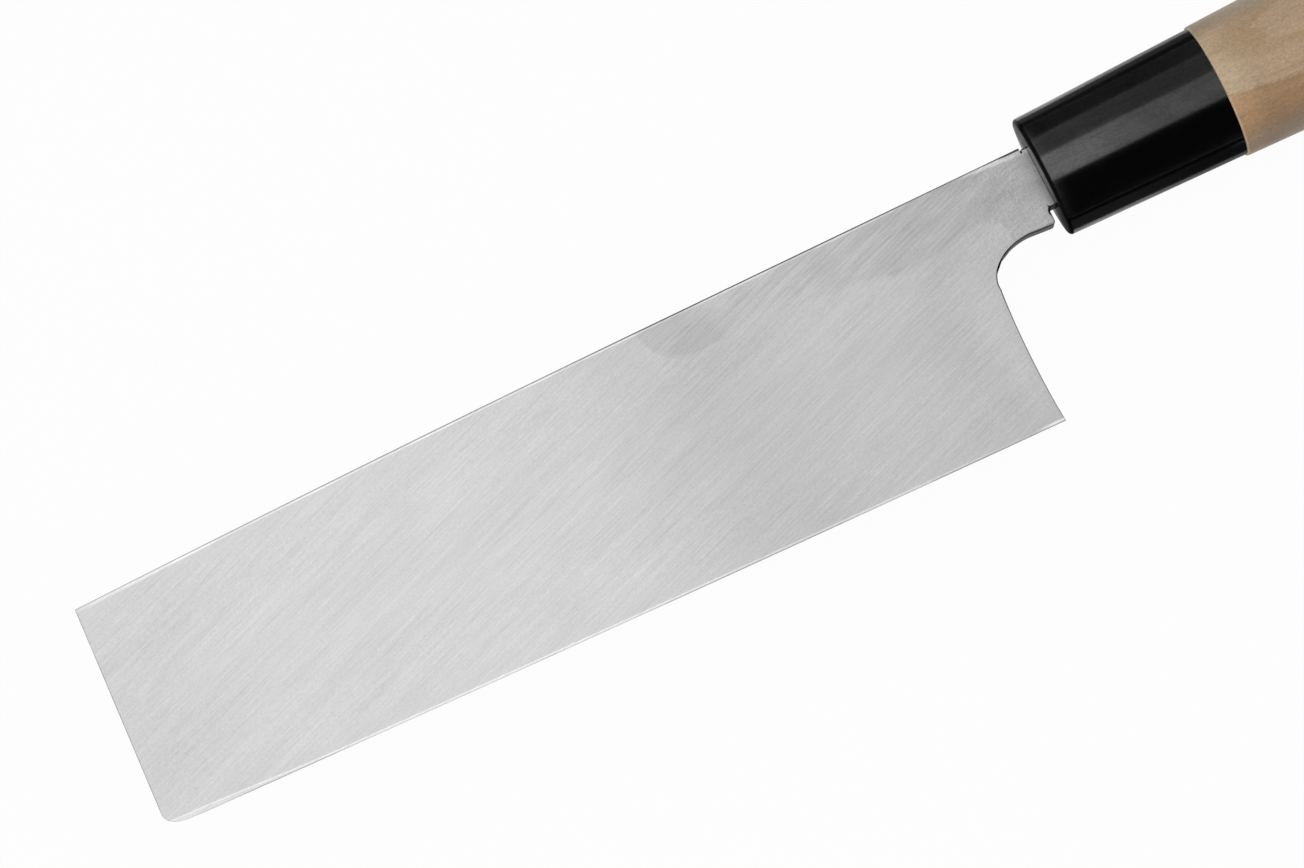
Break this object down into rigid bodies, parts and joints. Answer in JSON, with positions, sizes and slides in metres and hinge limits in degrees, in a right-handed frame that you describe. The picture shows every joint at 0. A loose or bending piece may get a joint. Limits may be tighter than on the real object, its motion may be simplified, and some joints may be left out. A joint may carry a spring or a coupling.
{
  "type": "usuba knife",
  "caption": "Japanese usuba vegetable knife: square single-bevel laminated blade with a hollow back, black ferrule and oval wooden handle.",
  "frame": {"origin": "under the middle of the knife's box, on the surface that its handle lies on, with the hollow back of the blade up", "axes": "+X from the blade's tip to the butt of the handle, +Y from the cutting edge to the spine, +Z out of the blade's hollow back"},
  "size_m": [0.312, 0.0556, 0.0228],
  "materials": {
    "edge_steel": "satin, long diagonal brush lines",
    "soft_iron": "satin, hazy on the bevel",
    "ferrule_black": "polished black with fine scratches",
    "handle_wood": "sanded, unvarnished, fine straight grain",
    "bedding_resin": "cast resin"
  },
  "bodies": {
    "root": {"blade_edge_steel": "edge_steel", "blade_soft_iron": "soft_iron", "ferrule": "ferrule_black", "handle": "handle_wood", "tang_bedding": "bedding_resin"}
  },
  "joints": []
}
